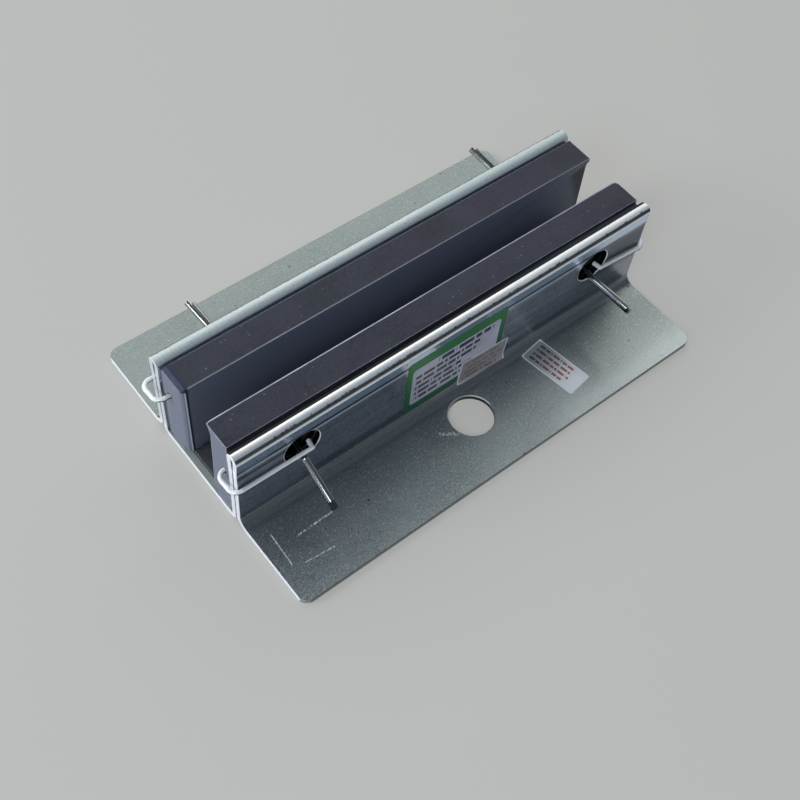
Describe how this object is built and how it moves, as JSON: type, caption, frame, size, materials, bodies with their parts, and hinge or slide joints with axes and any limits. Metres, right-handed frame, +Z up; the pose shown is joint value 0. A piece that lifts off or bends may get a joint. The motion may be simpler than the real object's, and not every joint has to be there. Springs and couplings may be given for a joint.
{
  "type": "elevator guide shoe",
  "caption": "Sliding elevator guide shoe: a folded galvanised sheet body whose double walls hold cushioned plastic liners around a rail slot, kept in by spring wire clips and split pins.",
  "frame": {"origin": "middle of the underside", "axes": "+X along the rail, +Y across the slot towards the rear flange, +Z up out of the slot"},
  "size_m": [0.147, 0.094, 0.0332],
  "materials": {
    "galvanised_sheet": "hot-dip galvanised sheet, mottled and handled",
    "liner_plastic": "dark blue-grey moulded plastic, satin",
    "nose_plastic": "dark moulded plastic, dusty",
    "cushion_rubber": "black rubber strip",
    "spring_wire": "bright drawn spring wire",
    "pin_steel": "dull steel split pin",
    "label_film": "thin plastic film labels with plain printed bars"
  },
  "bodies": {
    "root": {"shoe_body": "galvanised_sheet", "nose_liner": "nose_plastic", "liner_front": "liner_plastic", "liner_rear": "liner_plastic", "cushion_front": "cushion_rubber", "cushion_rear": "cushion_rubber", "clip_front_left": "spring_wire", "clip_front_right": "spring_wire", "clip_rear_left": "spring_wire", "clip_rear_right": "spring_wire", "pin_front_left": "pin_steel", "pin_front_right": "pin_steel", "pin_rear_left": "pin_steel", "pin_rear_right": "pin_steel"}
  },
  "joints": []
}
